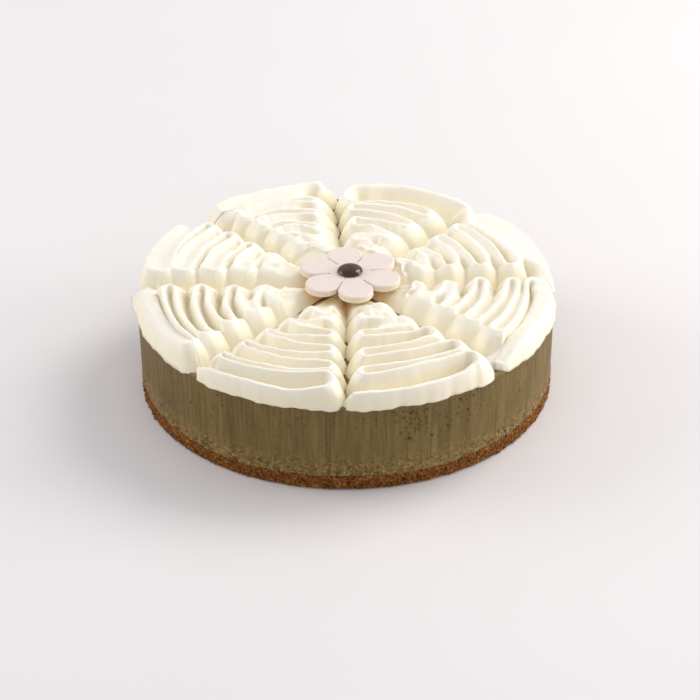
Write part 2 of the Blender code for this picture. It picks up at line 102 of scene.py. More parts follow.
# Each wedge, as the solids have it: its angles in degrees, its passes and their pitch, the
# radius that its turns are counted from at the start and end seams, how far they stay off
# those seams, and how much the passes bow outward
Wedge = namedtuple("Wedge", "start end passes pitch first_start first_end "
                            "inset_start inset_end bow")
WEDGES = [
    Wedge(226, 270, 11, 6.90, 102.5, 99.9, 8.5, 6.0, 0.050),
    Wedge(270, 316, 10, 7.65, 98.9, 101.8, 6.3, 8.5, 0.020),
    Wedge(316, 362, 10, 7.10, 98.2, 98.1, 11.0, 6.0, 0.035),
    Wedge(2, 49, 10, 6.83, 92.5, 92.1, 8.5, 8.5, 0.035),
    Wedge(49, 93, 9, 7.10, 88.2, 89.2, 9.5, 5.5, 0.035),
    Wedge(93, 136, 11, 6.20, 90.5, 98.1, 11.5, 8.5, 0.035),
    Wedge(136, 180, 10, 6.77, 96.4, 98.1, 8.5, 7.5, 0.035),
    Wedge(180, 226, 10, 7.10, 96.8, 102.3, 8.5, 10.0, 0.035),
]

# The first pass of each wedge, at the rim: its free start's distance from the seam in
# millimetres, its height there as a share, over what share of the pass it rises, half the
# width of its top, the radius and height of its top, and its other end's distance from the
# seam
First = namedtuple("First", "inset share rise half lip height end")
FIRSTS = [
    First(1.5, 0.62, 0.14, 1.0, 99.8, 8.0, 6.0), First(3.5, 0.95, 0.05, 1.0, 99.2, 8.0, 9.0),
    First(2.0, 0.45, 0.25, 2.8, 96.0, 9.0, 6.0), First(2.5, 0.80, 0.15, 2.5, 96.5, 9.3, 8.5),
    First(4.0, 0.90, 0.10, 1.2, 97.0, 10.8, 4.5), First(9.0, 1.00, 0.10, 1.2, 98.0, 11.2, 4.5),
    First(18.0, 1.00, 0.10, 2.0, 97.6, 10.6, 7.5), First(0.5, 0.45, 0.30, 2.5, 95.5, 9.5, 10.0),
]

# How each wedge's ribbon lies: half the width of its turns at either seam in millimetres,
# where the crease lies between two passes as a share of the way to the inner one (for the
# first valley and the rest), and how full the valleys are: the first, those that close at
# the end seam and those that close at the start seam
Lie = namedtuple("Lie", "loop_start loop_end first_crease crease first_fill end_fill start_fill")
LIES = [
    Lie(1.9, 3.4, 0.60, 0.60, 0.0, 0.0, 0.0), Lie(3.2, 4.3, 0.60, 0.60, 0.0, 0.0, 0.0),
    Lie(4.0, 3.0, 0.75, 0.62, 0.0, 0.3, 0.5), Lie(3.5, 3.0, 0.60, 0.58, 1.0, 0.85, 0.0),
    Lie(3.4, 3.4, 0.60, 0.60, 0.2, 0.3, 0.3), Lie(2.8, 4.2, 0.60, 0.60, 0.9, 0.85, 0.35),
    Lie(3.0, 4.6, 0.60, 0.60, 0.9, 0.9, 0.1), Lie(3.3, 3.2, 0.80, 0.66, 0.0, 0.0, 0.0),
]

# The rim of each wedge: how round its corners are at the start and end seams, and how far
# its start corner stands out past the rest, in millimetres. Turns at the end seam are round
# at a bluntness of 1 and squarer below it.
Rim = namedtuple("Rim", "round_start round_end flare bluntness")
RIMS = [Rim(4, 4, 0, 1), Rim(1.2, 9, 0, 1), Rim(5, 4, 0, 1), Rim(4, 3, 0, 1),
        Rim(3, 2, 0, 0.8), Rim(3, 2, 0, 0.6), Rim(4, 1, 0, 0.55), Rim(0, 4, 3.6, 1)]

# The lip's line: the spacing of its points, points along a pass and steps round a turn, and
# how far and over what lengths it is torn
PATH_STEP = 0.2 * MM
PASS_POINTS = 60
TURN_STEPS = 16
TORN = 0.35 * MM
TORN_LENGTHS = (6.0 * MM, 2.2 * MM)

# A wedge's seams: how far its mesh and end walls reach past them, how much further the walls
# do near the middle, from what radius and over what length, and the length of an open end
SEAM_OVERLAP = 2.6 * MM
WALL_OVERLAP = 0.35 * MM
INNER_OVERLAP = 0.9 * MM
INNER_WALLS = 70.0 * MM
INNER_WALLS_LENGTH = 30.0 * MM
OPENING_LENGTH = 4.0 * MM

# A wedge's rim: its radius and wave, how far past it the mesh starts and how steeply it falls
# there, the length of a flared corner, where corners round, and how it bulges and hangs
RIM_REACH = 101.0 * MM
RIM_WAVE = 0.5 * MM
RIM_DROP = 0.9 * MM
RIM_SLOPE = 1.5
FLARE_LENGTH = 9.0 * MM
RIM_OVERLAP = 0.3 * MM
PUFF = 0.5 * MM
PUFF_LENGTH = 3.0 * MM
PUFF_HEIGHT = 8.0 * MM
HANG = 0.9 * MM
HANG_LENGTH = 1.5 * MM
FOOT_DEPTH = 0.5 * MM

# Valleys between the passes: how far a lip's wall reaches, its rounded edge, the least height
# of cream inside and how that starts, how the filled ones lie, and the depth of full painted
# shade
VALLEY_REACH = 5.6 * MM
BEAD = 0.7 * MM
FLOOR_HEIGHT = 1.6 * MM
FLOOR_START = 4.0 * MM
FLOOR_FADE = 2.0 * MM
FLOOR_DROP = 3.0 * MM
FILLED_GROOVE = 0.9 * MM
FILL_FADE = 9.0 * MM
FILL_EDGE = 0.8 * MM
CREASE_DEPTH = 5.5 * MM

# The short inner passes: how full and how many, how often blurred, and the ribbon's end
INNER_FILL = 0.85
INNER_FILLED = 3
INNER_BLURS = 14
INNER_RADIUS = 3.0 * MM
TAIL_HEIGHT = 7.5 * MM
TAIL_START = 1.0 * MM
TAIL_LENGTH = 5.0 * MM
TAIL_SIDE = 4.0 * MM

# The cream's mesh: shares across a valley, rows at the rim and the middle, and columns
# beside and along a pass
ACROSS_VALLEY = (0, 0.04, 0.08, 0.12, 0.17, 0.22, 0.28, 0.34, 0.40, 0.45,
                 0.5, 0.55, 0.60, 0.66, 0.72, 0.78, 0.83, 0.88, 0.92, 0.96)
RIM_ROWS = 12
INNER_ROWS = 12
SIDE_COLUMNS = 28
PASS_COLUMNS = 60

# The flower. SIDE_LINE is the faint line round its side, as insets and heights in
# millimetres. FLOWER_RINGS divide its top.
FLOWER_CENTRE_X = 2.0 * MM
FLOWER_BOTTOM = 55.5 * MM
FLOWER_THICKNESS = 3.5 * MM
FLOWER_RADIUS = 25.2 * MM
FLOWER_EDGE = 0.8 * MM
FLOWER_RINGS = (0.95, 0.88, 0.8, 0.7, 0.58, 0.45, 0.3, 0.15)
PETALS = 6
PETAL_TURN = 39
PETAL_ROUND = 8.4 * MM
PETAL_POINTS = 31
GROOVE_HALF = 0.35 * MM
GROOVE_START = 9.0 * MM
SIDE_LINE = [(0.0, 1.5), (0.22, 1.75), (0.0, 2.0)]
PETAL_CREASE = 0.25 * MM
PETAL_CREASE_HALF = 0.5 * MM

# The cream near the flower: how far below it stays, where and how steeply it rises again, and
# how far the shade painted on the cream beneath the flower reaches
FLOWER_CLEARANCE = 0.2 * MM
UNDER_FLOWER = 25.9 * MM
UNDER_SLOPE = 1.2
SHADE_REACH = 27.0 * MM
SHADE_FADE = 5.0 * MM
SHADE_HEIGHT = 4.0 * MM

# The button: the share of its radius that it stands on, the share of its height where it is
# widest, and the angle in degrees at which its edge starts are its seat, edge and under.
BUTTON_RADIUS = 6.1 * MM
BUTTON_HEIGHT = 3.0 * MM
BUTTON_LIFT = 0.05 * MM
BUTTON_SEAT = 0.90
BUTTON_EDGE = 0.15
BUTTON_UNDER = -25
BUTTON_STEPS = 16
BUTTON_AROUND = 96

# The studio: floor, world, camera, and lights that look at LIGHTS_AIM, each with its name,
# place, size, power and colour. The camera's place is in millimetres and its turns in degrees.
FLOOR_SIZE = 8
FLOOR_LEVEL = -0.2 * MM
WORLD_COLOUR = (0.95, 0.95, 1.0, 1.0)
WORLD_STRENGTH = 0.62
LIGHTS_AIM = (0, 0, 0.03)
LIGHTS = [
    ("key", (0.95, 0.65, 1.15), 0.9, 12.5, (1.0, 0.98, 0.96)),
    ("right_fill", (1.5, 0.15, 0.35), 0.9, 13, (1.0, 0.98, 0.96)),
    ("left_fill", (-1.4, 0.25, 0.7), 1.0, 9, (1.0, 0.98, 0.97)),
    ("front_fill", (0.0, -1.4, 1.3), 1.2, 1.5, (0.98, 0.99, 1.0)),
]
CAMERA_PLACE = (1.8, -1165.0, 723.5)
CAMERA_ELEVATION = 31.31
CAMERA_ROLL = -0.26
CAMERA_LENS = 143.5
SENSOR_WIDTH = 36


def add_piece(name, mesh, material, slot, *nodes):
    """Put a finished mesh into the scene in place of CAD nodes."""
    piece = bpy.data.objects.new(name, mesh)
    bpy.context.scene.collection.objects.link(piece)
    mesh.materials.append(material)
    mesh.shade_smooth()
    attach(piece, "root")
    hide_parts(*nodes)


def grid_faces(rows, columns, closed):
    """Faces of a grid of points in rows, whose columns may close into a ring."""
    across = columns if closed else columns - 1
    first = np.arange(rows - 1)[:, None] * columns + np.arange(across)[None, :]
    step = np.ones(across, int)
    if closed:
        step[-1] = 1 - columns
    step = step[None, :]
    return np.stack([first, first + step, first + step + columns, first + columns],
                    axis=-1).reshape(-1, 4)


class Nodes:
    """Short calls for the nodes of one material."""

    def __init__(self, name):
        self.material = bpy.data.materials.new(name)
        self.material.use_nodes = True
        self.tree = self.material.node_tree
        self.shader = self.tree.nodes["Principled BSDF"]
        self.coords = self.tree.nodes.new("ShaderNodeTexCoord").outputs["Object"]

    def set(self, **values):
        """Set the shader's own sockets; underscores stand for spaces."""
        for name, value in values.items():
            self.shader.inputs[name.replace("_", " ")].default_value = value

    def add(self, kind, links=(), **settings):
        """A node with some settings and some linked or fixed inputs."""
        node = self.tree.nodes.new(kind)
        for name, value in settings.items():
            setattr(node, name, value)
        for name, value in dict(links).items():
            if isinstance(value, bpy.types.NodeSocket):
                self.tree.links.new(value, node.inputs[name])
            else:
                node.inputs[name].default_value = value
        return node

    def stretched(self, x, y, z):
        """The coordinates, scaled along each axis."""
        node = self.add("ShaderNodeMapping", {"Vector": self.coords, "Scale": (x, y, z)})
        return node.outputs["Vector"]

    def noise(self, scale, detail, roughness=0.55, vector=None):
        node = self.add("ShaderNodeTexNoise", {
            "Vector": vector or self.coords, "Scale": scale, "Detail": detail,
            "Roughness": roughness})
        return node.outputs["Fac"]

    def cells(self, scale):
        """Distance to the nearest of many scattered points."""
        node = self.add("ShaderNodeTexVoronoi", {"Vector": self.coords, "Scale": scale})
        return node.outputs["Distance"]

    def height(self):
        """Height above the underside, in metres."""
        return self.add("ShaderNodeSeparateXYZ", {"Vector": self.coords}).outputs["Z"]

    def attribute(self, name):
        return self.add("ShaderNodeAttribute", attribute_name=name).outputs["Fac"]

    def spread(self, value, low, high, to_low=0.0, to_high=1.0):
        """Map a value from one range to another, with its ends held."""
        node = self.add("ShaderNodeMapRange", {
            "Value": value, "From Min": low, "From Max": high, "To Min": to_low,
            "To Max": to_high})
        return node.outputs["Result"]

    def math(self, operation, first, second):
        node = self.add("ShaderNodeMath", {0: first, 1: second}, operation=operation)
        return node.outputs["Value"]

    def blend(self, share, first, second):
        """Mix two colours, each a socket or three numbers."""
        first, second = (value if isinstance(value, bpy.types.NodeSocket) else (*value, 1.0)
                         for value in (first, second))
        node = self.add("ShaderNodeMix", {0: share, 6: first, 7: second}, data_type="RGBA")
        return node.outputs[2]

    def to_shader(self, socket, name):
        self.tree.links.new(socket, self.shader.inputs[name])

    def bump(self, height, distance, strength, before=None):
        links = {"Height": height, "Distance": distance, "Strength": strength}
        if before:
            links["Normal"] = before
        return self.add("ShaderNodeBump", links).outputs["Normal"]


def crumb_material():
    """Baked biscuit crumb: orange-brown grains, some pale and some dark."""
    made = Nodes("baked_crumb")
    made.set(Roughness=0.9, Specular_IOR_Level=0.2)
    fine = made.noise(900, 6, 0.65)
    grains = made.noise(420, 3, 0.6)
    cells = made.cells(700)
    tone = made.blend(made.spread(fine, 0.38, 0.62), (0.066, 0.019, 0.003), (0.290, 0.105, 0.018))
    tone = made.blend(made.spread(grains, 0.56, 0.70), tone, (0.420, 0.205, 0.055))
    tone = made.blend(made.spread(grains, 0.42, 0.32), tone, (0.045, 0.014, 0.004))
    lump = made.attribute("grain")
    tone = made.blend(made.spread(lump, 0.2, 0.9, 0.0, 0.8), tone, (0.400, 0.165, 0.034))
    made.to_shader(tone, "Base Color")
    rough = made.bump(cells, 0.5 * MM, 0.6)
    made.to_shader(made.bump(fine, 0.4 * MM, 0.8, rough), "Normal")
    return made.material


def filling_material():
    """Dense olive-brown filling: upright smears, small pits and a crumbly band at its foot; shade
    is painted in the pits and a highlight along the top edge.
    """
    made = Nodes("filling")
    made.set(Roughness=0.6, Specular_IOR_Level=0.25)
    wide = made.noise(28, 3, 0.5)
    smear = made.noise(420, 5, 0.6, made.stretched(1, 1, 0.05))
    thin_smear = made.noise(1300, 4, 0.6, made.stretched(1, 1, 0.03))
    broad_smear = made.noise(110, 3, 0.5, made.stretched(1, 1, 0.12))
    level_smear = made.noise(500, 4, 0.65, made.stretched(0.35, 0.35, 1.6))
    fine = made.noise(1400, 4, 0.6)
    specks = made.noise(620, 3, 0.5)
    tone = made.blend(made.spread(wide, 0.35, 0.65), (0.138, 0.089, 0.022), (0.170, 0.113, 0.032))
    for pattern, start, full, most, colour in (
            (smear, 0.42, 0.66, 0.7, (0.232, 0.159, 0.056)),
            (thin_smear, 0.52, 0.70, 0.6, (0.250, 0.180, 0.072)),
            (thin_smear, 0.46, 0.32, 0.6, (0.088, 0.053, 0.014)),
            (broad_smear, 0.50, 0.34, 0.5, (0.108, 0.064, 0.016)),
            (level_smear, 0.57, 0.72, 0.5, (0.115, 0.072, 0.020)),
            (fine, 0.58, 0.72, 0.45, (0.270, 0.190, 0.074)),
            (specks, 0.35, 0.26, 0.8, (0.060, 0.034, 0.010))):
        tone = made.blend(made.spread(pattern, start, full, 0.0, most), tone, colour)
    low = made.spread(made.height(), *CRUMBLY_TINT)
    for pattern, start, full, most, colour in (
            (made.noise(430, 5, 0.7), 0.47, 0.56, 1.0, (0.275, 0.170, 0.052)),
            (made.noise(760, 3, 0.6), 0.57, 0.64, 1.0, (0.400, 0.275, 0.105)),
            (made.noise(360, 4, 0.6), 0.44, 0.37, 0.75, (0.062, 0.034, 0.009))):
        share = made.math("MULTIPLY", low, made.spread(pattern, start, full, 0.0, most))
        tone = made.blend(share, tone, colour)
    # Lighter on the rounded top edge: a painted highlight.
    edge = made.spread(made.height(), CAKE_HEIGHT - 0.9 * MM, CAKE_HEIGHT - 0.3 * MM, 0.0, 0.6)
    tone = made.blend(edge, tone, (0.270, 0.180, 0.068))
    lump = made.attribute("grain")
    tone = made.blend(made.spread(lump, 0.1, 0.2), tone,
                      made.blend(made.spread(lump, 0.3, 0.7), (0.052, 0.030, 0.010),
                                 (0.370, 0.240, 0.085)))
    # Near black in the pits: painted shade.
    tone = made.blend(made.attribute("pit"), tone, (0.030, 0.014, 0.003))
    made.to_shader(tone, "Base Color")
    first = made.bump(smear, 0.5 * MM, 0.5)
    second = made.bump(thin_smear, 0.3 * MM, 0.5, first)
    made.to_shader(made.bump(fine, 0.25 * MM, 0.6, second), "Normal")
    return made.material


def cream_material():
    """Whipped cream: soft ivory white, with warm shade painted between its passes and under the
    flower.
    """
    made = Nodes("piped_cream")
    made.set(Roughness=0.42, Subsurface_Weight=0.35, Subsurface_Scale=0.0025,
             Subsurface_Radius=(1.0, 0.8, 0.45))
    soft = made.noise(60, 3, 0.5)
    fine = made.noise(900, 4, 0.5)
    painted_crease_shade = made.attribute("depth")
    tone = made.blend(made.spread(soft, 0.35, 0.65), (0.895, 0.848, 0.735), (0.915, 0.876, 0.778))
    # Yellower the lower a point lies below its lip between the passes: painted shade.
    tone = made.blend(made.math("MULTIPLY", painted_crease_shade, 0.7), tone, (0.90, 0.815, 0.58))
    # Warm orange on the cream beneath the flower: painted shade.
    tone = made.blend(made.math("MULTIPLY", made.attribute("painted_flower_shade"), 0.7), tone,
                      (0.85, 0.58, 0.24))
    made.to_shader(tone, "Base Color")
    made.to_shader(made.bump(fine, 0.12 * MM, 0.35), "Normal")
    return made.material


def petal_material():
    """Pale moulded petals, faintly pink, with a powdery surface and creamier edges."""
    made = Nodes("pale_petal")
    made.set(Roughness=0.55, Subsurface_Weight=0.2, Subsurface_Scale=0.002,
             Subsurface_Radius=(1.0, 0.7, 0.5))
    soft = made.noise(150, 4, 0.6)
    fine = made.noise(1600, 3, 0.6)
    tone = made.blend(made.spread(soft, 0.35, 0.65), (0.755, 0.660, 0.590), (0.785, 0.690, 0.622))
    side = made.spread(made.height(), FLOWER_BOTTOM + FLOWER_THICKNESS - 0.6 * MM,
                       FLOWER_BOTTOM + FLOWER_THICKNESS - 1.4 * MM)
    tone = made.blend(side, tone, (0.86, 0.73, 0.57))
    made.to_shader(tone, "Base Color")
    made.to_shader(made.bump(fine, 0.1 * MM, 0.3), "Normal")
    return made.material


def button_material():
    """Dark glossy button with faint marbling."""
    made = Nodes("dark_button")
    made.set(Roughness=0.16, Specular_IOR_Level=0.35, Coat_Weight=0.3, Coat_Roughness=0.06)
    swirl = made.noise(260, 4, 0.6)
    tone = made.blend(made.spread(swirl, 0.35, 0.7), (0.026, 0.009, 0.004), (0.078, 0.034, 0.017))
    made.to_shader(tone, "Base Color")
    made.to_shader(made.bump(swirl, 0.1 * MM, 0.15), "Normal")
    return made.material


def seam_height(angle):
    """The uneven line between crumb base and filling, as seen from the side."""
    wave = 0.5 * math.sin(7 * angle + 0.4) + 0.3 * math.sin(13 * angle + 1.9)
    rough = noise.noise(Vector((EDGE_ROUGH * math.cos(angle), EDGE_ROUGH * math.sin(angle), 0)))
    return BASE_EDGE_WAVE * (wave + 0.2 * math.sin(19 * angle) + rough)


def edge_share(radius):
    """How fully the waves of the seam show at a radius, from 0 to 1."""
    return max(0.0, min(1.0, (radius - EDGE_START * FOOT_RADIUS) / (EDGE_LENGTH * FOOT_RADIUS)))


def turned_grid(profile, around, shift):
    """Turn a profile of (radius, height) round Z, each point moved by a function."""
    points = []
    for radius, height in profile:
        for step in range(around):
            angle = math.tau * step / around
            points.append(shift(angle, radius, height))
    faces = grid_faces(len(profile), around, True)[:, ::-1].tolist()
    for first, height in ((0, profile[0][1]), ((len(profile) - 1) * around, profile[-1][1])):
        middle = len(points)
        points.append((0, 0, height))
        for step in range(around):
            pair = (first + step, first + (step + 1) % around)
            faces.append([middle, *(pair if first else pair[::-1])])
    return points, faces


def closed_mesh(name, points, faces):
    """A mesh closed by a face over any open rim, whose faces all look outward."""
    shape = bmesh.new()
    verts = [shape.verts.new(point) for point in points]
    for face in faces:
        shape.faces.new([verts[corner] for corner in face])
    rim = [edge for edge in shape.edges if edge.is_boundary]
    if rim:
        bmesh.ops.contextual_create(shape, geom=rim)
    bmesh.ops.recalc_face_normals(shape, faces=shape.faces)
    mesh = bpy.data.meshes.new(name)
    shape.to_mesh(mesh)
    shape.free()
    return mesh


def keep_values(mesh, name, values):
    """Keep a value of each point of a mesh, for its material."""
    layer = mesh.attributes.new(name, "FLOAT", "POINT")
    layer.data.foreach_set("value", np.array(values, np.float32))


def scattered_grains(seed, count, heights, radius, sizes):
    """Corners, faces and tones of small uneven lumps, half sunk in the cake's side."""
    ball = bmesh.new()
    bmesh.ops.create_icosphere(ball, subdivisions=1, radius=1.0)
    ball.verts.index_update()
    corners = np.array([tuple(vert.co) for vert in ball.verts])
    sides = np.array([[vert.index for vert in face.verts] for face in ball.faces])
    ball.free()
    dice = np.random.default_rng(seed)
    angle = dice.uniform(0, math.tau, count)
    level = dice.uniform(*heights, count)
    size = dice.uniform(*sizes, count)
    out = radius + dice.uniform(-0.6, 0.1, count) * size
    middles = np.stack([out * np.cos(angle), out * np.sin(angle), level], axis=1)
    uneven = dice.uniform(0.6, 1.25, (count, len(corners), 1))
    points = middles[:, None] + corners[None] * size[:, None, None] * uneven
    faces = sides[None] + len(corners) * np.arange(count)[:, None, None]
    tones = np.repeat(dice.uniform(0.25, 1.0, count), len(corners))
    return points.reshape(-1, 3), faces.reshape(-1, 3), tones


def grainy_mesh(name, profile, around, shift, grains):
    """A turned mesh and its grains in one, with each grain's tone kept as an attribute."""
    points, faces = turned_grid(profile, around, shift)
    count = len(points)
    lumps, sides, tones = grains
    mesh = closed_mesh(name, points + lumps.tolist(), faces + (sides + count).tolist())
    keep_values(mesh, "grain", np.r_[np.zeros(count), tones])
    return mesh


def crumb_relief(angle, radius, height):
    """Point of the crumb base with its crags."""
    x, y = radius * math.cos(angle), radius * math.sin(angle)
    moved, raised = radius, height
    share = edge_share(radius)
    if radius > 0.9 * FOOT_RADIUS and height > 0:
        place = Vector((x, y, height))
        coarse = noise.noise(place * 260) + 0.8 * noise.noise(place * 620 + Vector((7, 3, 1)))
        fine = noise.noise(place * 1300)
        side = min(1.0, height / (0.8 * MM))
        moved += side * (0.55 * coarse + 0.25 * fine) * MM - 0.1 * MM
    raised += height / BASE_HEIGHT * share * seam_height(angle)
    return moved * math.cos(angle), moved * math.sin(angle), raised


def build_crumb_base(material):
    """Pressed crumb disc whose side is grainy."""
    side = [(FOOT_RADIUS - 1.2 * MM, 0.0), (FOOT_RADIUS - 0.7 * MM, 0.15 * MM)]
    side += [(FOOT_RADIUS - 0.2 * MM * (1 - step / 13) ** 2, 0.45 * MM + 0.52 * MM * step)
             for step in range(13)]
    profile = [(0.5 * FOOT_RADIUS, 0.0), *side]
    profile += [(FOOT_RADIUS - inset * MM, SEAM_LEVEL) for inset in (0.3, 1.0, 2.5, 6.0)]
    grains = scattered_grains(*CRUST_GRAINS)
    mesh = grainy_mesh("crumb_crust", profile, CRUST_AROUND, crumb_relief, grains)
    add_piece("crumb_crust", mesh, material, "crumb", "crumb_base")


def scatter_pits(draw):
    """Places of the pits in the filling's side: angle, height, radius and depth."""
    places = []
    for kind in PITS:
        for _ in range(kind.count):
            radius = draw.uniform(kind.smallest, kind.largest) * MM
            places.append((math.radians(draw.uniform(kind.start, kind.end)),
                           draw.uniform(kind.low, kind.high) * MM, radius,
                           draw.uniform(0.6, 1.0) * radius))
    return places


def build_filling(material):
    """Filling with an upright smeared side, small pits and a softly rounded rim."""
    middle = 0.5 * (FOOT_RADIUS + CAKE_RADIUS)
    profile = [(0.9 * FOOT_RADIUS, SEAM_LEVEL), (FOOT_RADIUS - 1.5 * MM, SEAM_LEVEL),
               (FOOT_RADIUS - 0.3 * MM, SEAM_LEVEL)]
    top_of_side = CAKE_HEIGHT - RIM_ROUNDING
    for step in range(FILLING_ROWS):
        share = step / FILLING_ROWS
        height = SEAM_LEVEL + 0.2 * MM + (top_of_side - SEAM_LEVEL - 0.2 * MM) * share
        radius = FOOT_RADIUS + (middle - FOOT_RADIUS) * min(1, 2 * share)
        radius += (CAKE_RADIUS - middle) * max(0, 2 * share - 1)
        profile.append((radius, height))
    for step in range(7):
        turn = math.radians(15 * step)
        profile.append((CAKE_RADIUS - RIM_ROUNDING * (1 - math.cos(turn)),
                        top_of_side + RIM_ROUNDING * math.sin(turn)))
    profile += [(CAKE_RADIUS - inset * MM, CAKE_HEIGHT) for inset in (1.6, 2.4, 4, 8, 14, 24, 45)]
    pits = scatter_pits(random.Random(PIT_SEED))
    tree = kdtree.KDTree(len(pits))
    for index, (angle, height, _, _) in enumerate(pits):
        tree.insert((CAKE_RADIUS * math.cos(angle), CAKE_RADIUS * math.sin(angle), height), index)
    tree.balance()
    pit_shades = []

    def relief(angle, radius, height):
        """Point of the filling with its smears, crumbs and pits; it keeps each point's share of a
        pit for the shade painted there.
        """
        x, y = radius * math.cos(angle), radius * math.sin(angle)
        moved, raised, pit_shade = radius, height, 0.0
        share = edge_share(radius)
        raised += share * seam_height(angle) * max(0.0, 1 - (height - SEAM_LEVEL) / SEAM_FADE)
        if radius > 0.97 * FOOT_RADIUS:
            place = Vector((x, y, 0.06 * height))
            smear = noise.noise(place * 330) + 0.6 * noise.noise(place * 900)
            place = Vector((x, y, height))
            soft = noise.noise(place * 45)
            low = max(0.0, min(1.0, (CRUMBLY_TOP - height) / CRUMBLY_LENGTH))
            rough = noise.noise(place * 520) + 0.7 * noise.noise(place * 1150)
            moved += (0.10 * smear + 0.16 * soft + 0.42 * low * rough) * MM
            _, index, distance = tree.find((x, y, height))
            pit = pits[index]
            if distance < 1.5 * pit[2]:
                fall = math.exp(-(distance / pit[2]) ** 2)
                moved -= pit[3] * fall
                pit_shade = fall
        elif height > BASE_HEIGHT + 1 * MM:
            raised += 0.12 * noise.noise(Vector((x, y, height)) * 300) * MM
        pit_shades.append(pit_shade)
        return moved * math.cos(angle), moved * math.sin(angle), raised

    mesh = grainy_mesh("filling_body", profile, FILLING_AROUND, relief,
                       scattered_grains(*FILLING_GRAINS))
    keep_values(mesh, "pit", pit_shades + [0.0] * (len(mesh.vertices) - len(pit_shades)))
    add_piece("filling_body", mesh, material, "filling", "filling")


class Ribbon:
    """The lip of one wedge's ribbon: where it runs across (t) and outward (r)."""

    def __init__(self, wedge, first, lie, rim, seed):
        self.wedge = wedge
        self.first = first
        self.lie = lie
        self.rim = rim
        self.seed = seed
        self.passes = wedge.passes
        self.half = math.radians(wedge.end - wedge.start) / 2
        middle = math.radians(wedge.end + wedge.start) / 2
        self.outward = Vector((math.cos(middle), math.sin(middle)))
        self.across = Vector((-self.outward.y, self.outward.x))
        draw = random.Random(seed)
        self.phases = [(draw.uniform(0, math.tau), draw.uniform(0, math.tau))
                       for _ in range(self.passes + 1)]
        self.turns = [self.turn(number) for number in range(self.passes + 1)]

    def world(self, t, r):
        """World x and y of places in the wedge's own plan."""
        return (self.outward.x * r + self.across.x * t, self.outward.y * r + self.across.y * t)

    def turn(self, number):
        """Centre (t, r) and half width of the turn that ends a pass, and its side."""
        side = 1 if number % 2 else -1
        wedge = self.wedge
        first = wedge.first_end if side > 0 else wedge.first_start
        inset = (wedge.inset_end if side > 0 else wedge.inset_start) * MM
        loop = turned = (self.lie.loop_end if side > 0 else self.lie.loop_start) * MM
        radius = (first - wedge.pitch * number) * MM
        rim = self.first.lip * MM
        if number == 0:
            radius, loop, inset = rim, 0.0, self.first.inset * MM
        elif number == 1:
            inner, inset = radius - turned, self.first.end * MM
            radius, loop = (inner + rim) / 2, (rim - inner) / 2
        elif number == self.passes:
            radius, loop = radius + turned, 0.0
        if number <= 1:
            edge = math.asin((radius * math.sin(self.half) - inset) / radius)
            return side * (radius * math.sin(edge) - loop), radius * math.cos(edge), loop, side
        widest = radius * math.tan(self.half) - loop - 0.5 * SHORTEST_PASS
        inset = max(LEAST_INSET, min(inset, widest * math.cos(self.half)))
        across = radius * math.tan(self.half) - inset / math.cos(self.half) - loop
        return side * across, radius, loop, side

    def lip_height(self, number, share):
        """Height of a pass's lip above the filling at a share of its way across."""
        phase = self.phases[number]
        wave = math.sin(5 * share + phase[0]) * 0.6 + math.sin(11 * share + phase[1]) * 0.3
        wave += math.sin(31 * share + phase[0]) * 0.15
        height = LIP_HEIGHT
        if number == 1:
            height = self.first.height * MM
            height += (LIP_HEIGHT - height) * 0.5 * max(0.0, share - 0.8) / 0.2
        return height + LIP_WAVE * wave

    def lip(self, number, share):
        """Middle of a pass's lip (t, r), share 0 at the start seam, 1 at the end seam."""
        before, after = self.turns[number - 1], self.turns[number]
        t_first, r_first = before[0], before[1] - before[2]
        t_last, r_last = after[0], after[1] + after[2]
        if number % 2 == 0:
            t_first, r_first, t_last, r_last = t_last, r_last, t_first, r_first
        t = t_first + (t_last - t_first) * share
        r = r_first + (r_last - r_first) * share
        arch = share * (1 - share)
        if number == 1:
            full = math.sqrt((self.first.lip * MM) ** 2 - t ** 2)
            return t, min(full, r + FIRST_PASS_BOW * arch)
        bow = self.wedge.bow * max(r_first, r_last)
        wave = LIP_WAVE * math.sin(7 * share + self.phases[number][0])
        return t, r + (4 * bow + 2 * wave) * arch

    def path(self):
        """The lip's line as rows of (t, r, height, half width), evenly spaced."""
        line = []
        first = self.first
        for number in range(1, self.passes + 1):
            half = first.half * MM if number == 1 else LIP_HALF
            shares = np.linspace(0, 1, PASS_POINTS)
            if number % 2 == 0:
                shares = shares[::-1]
            for share in shares:
                height = self.lip_height(number, share)
                if number == 1 and share < first.rise:
                    risen = math.sin(0.5 * math.pi * share / first.rise)
                    height *= first.share + (1 - first.share) * risen
                line.append((*self.lip(number, share), height, half))
            if number < self.passes:
                t, r, loop, side = self.turns[number]
                last, following = line[-1][2], self.lip_height(number + 1, 0.5 + 0.5 * side)
                blunt = self.rim.bluntness if side > 0 else 1
                for step in range(1, TURN_STEPS):
                    angle = math.pi * (0.5 - step / TURN_STEPS)
                    out, up = math.cos(angle) ** blunt, abs(math.sin(angle)) ** blunt
                    line.append((t + side * loop * out, r + loop * math.copysign(up, angle),
                                 last + (following - last) * step / TURN_STEPS,
                                 half + (LIP_HALF - half) * step / TURN_STEPS))
        line = np.array(line)
        along = np.r_[0, np.cumsum(np.hypot(*np.diff(line[:, :2], axis=0).T))]
        even = np.arange(0, along[-1], PATH_STEP)
        path = np.stack([np.interp(even, along, line[:, column]) for column in range(4)], axis=1)
        for place, length in enumerate(even):
            torn = [noise.noise_vector(Vector((length / scale, self.seed, 0)))
                    for scale in TORN_LENGTHS]
            path[place, :3] += TORN * np.array((0.7, 0.7, 1.0)) * (torn[0] + 0.6 * torn[1])
        return path


def crease_share(lie, number, share):
    """Where a line across a valley lies, when the crease is not in its middle."""
    crease = lie.first_crease if number == 1 else lie.crease
    if share < 0.5:
        return 2 * crease * share
    return crease + (1 - crease) * (2 * share - 1)


